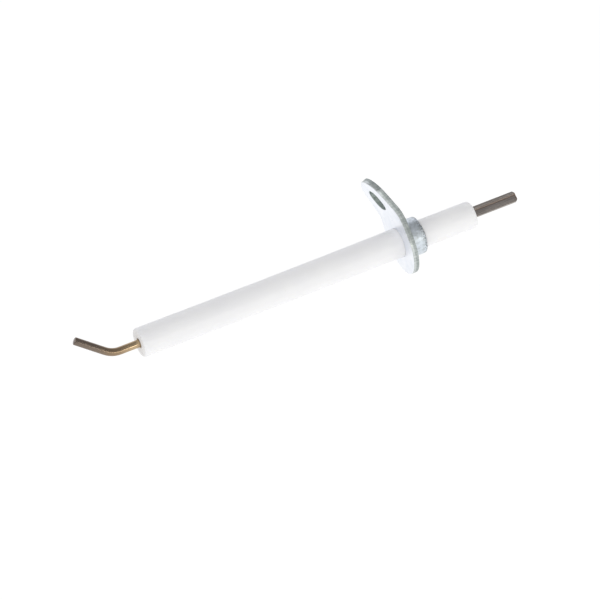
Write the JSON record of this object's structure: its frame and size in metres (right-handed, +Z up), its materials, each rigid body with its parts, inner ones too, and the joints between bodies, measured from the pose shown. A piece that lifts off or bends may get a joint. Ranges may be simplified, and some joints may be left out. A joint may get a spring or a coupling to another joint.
{
  "type": "flame sensor probe",
  "caption": "Flame sensor probe: bent electrode rod in a glazed ceramic tube, slotted steel bracket crimped on by a bush, and a blade terminal.",
  "frame": {"origin": "on the ceramic tube's axis, in the flame-side face of the bracket's disc", "axes": "+X along the ceramic tube towards the blade terminal, -X towards the flame; +Z up the bracket's lug; +Y completes the right-handed set"},
  "size_m": [0.1192, 0.0168, 0.026],
  "materials": {
    "glazed_alumina": "white glazed alumina",
    "heat_resisting_wire": "drawn heat-resisting wire, oxidised brown",
    "zinc_plated_steel": "punched steel, bright zinc with clear blue passivation",
    "zinc_plated_bush": "turned steel, zinc plated, crimped",
    "soft_steel": "annealed steel washer",
    "packing": "pressed mica and talc packing",
    "terminal_steel": "folded stainless strip, dull dark grey",
    "cement": "refractory cement"
  },
  "bodies": {
    "root": {"ceramic_insulator": "glazed_alumina", "electrode_rod": "heat_resisting_wire", "mounting_plate": "zinc_plated_steel", "clamp_bush": "zinc_plated_bush", "seat_washer": "soft_steel", "packing_ring": "packing", "terminal_tab": "terminal_steel", "terminal_cement": "cement"}
  },
  "joints": []
}
